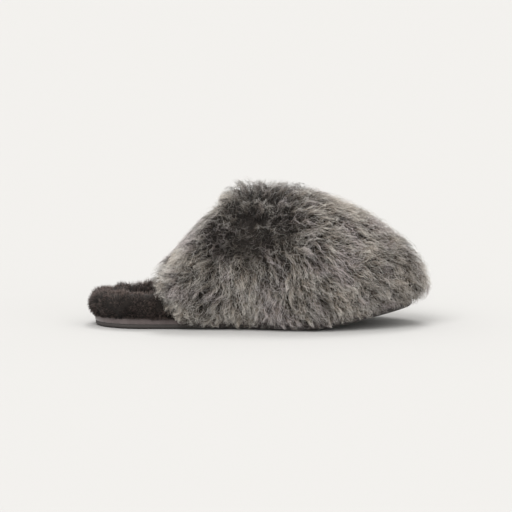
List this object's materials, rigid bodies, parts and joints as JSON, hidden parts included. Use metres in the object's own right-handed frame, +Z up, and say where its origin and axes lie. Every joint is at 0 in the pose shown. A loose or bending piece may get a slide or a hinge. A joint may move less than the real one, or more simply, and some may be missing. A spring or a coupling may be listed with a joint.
{
  "type": "house slipper",
  "caption": "Low-heeled house slipper for the right foot with a closed toe under long grey wool, a soft woolly heel collar and a thin moulded sole.",
  "frame": {"origin": "on the floor, under the middle of the slipper's bounding box", "axes": "+X towards the toe, +Y towards the inner side of the foot, +Z up"},
  "size_m": [0.2846, 0.1258, 0.119],
  "materials": {
    "outsole": "matte moulded, dark grey, fine grain",
    "midsole": "foamed, dull, dark",
    "sole_wrap": "suede, napped, mauve grey",
    "bottom_filler": "felt",
    "insole_board": "plain fibreboard",
    "footbed_foam": "open-cell cushion foam, off-white",
    "footbed_skin": "suede skin side of sheepskin",
    "footbed_wool": "short clipped wool pile, dark brown",
    "heel_counter": "thermoformed stiffener",
    "heel_collar_foam": "open-cell cushion foam, off-white",
    "heel_collar_skin": "suede skin side of sheepskin",
    "heel_collar_wool": "short clipped wool pile, dark brown with frosted tips",
    "vamp_lining_wool": "short clipped wool pile, dark brown",
    "vamp_lining_skin": "suede skin side of sheepskin",
    "toe_puff": "thermoformed stiffener",
    "vamp_hide": "suede skin side of sheepskin",
    "vamp_fur": "long combed wool, mid grey, dark at the roots and pale at the tips",
    "topline_binding": "folded suede binding"
  },
  "bodies": {
    "root": {"outsole": "outsole", "midsole": "midsole", "sole_wrap": "sole_wrap", "bottom_filler": "bottom_filler", "insole_board": "insole_board", "footbed_foam": "footbed_foam", "footbed_skin": "footbed_skin", "footbed_wool": "footbed_wool", "heel_counter": "heel_counter", "heel_collar_foam": "heel_collar_foam", "heel_collar_skin": "heel_collar_skin", "heel_collar_wool": "heel_collar_wool", "vamp_lining_wool": "vamp_lining_wool", "vamp_lining_skin": "vamp_lining_skin", "toe_puff": "toe_puff", "vamp_hide": "vamp_hide", "vamp_fur": "vamp_fur", "topline_binding": "topline_binding"}
  },
  "joints": []
}
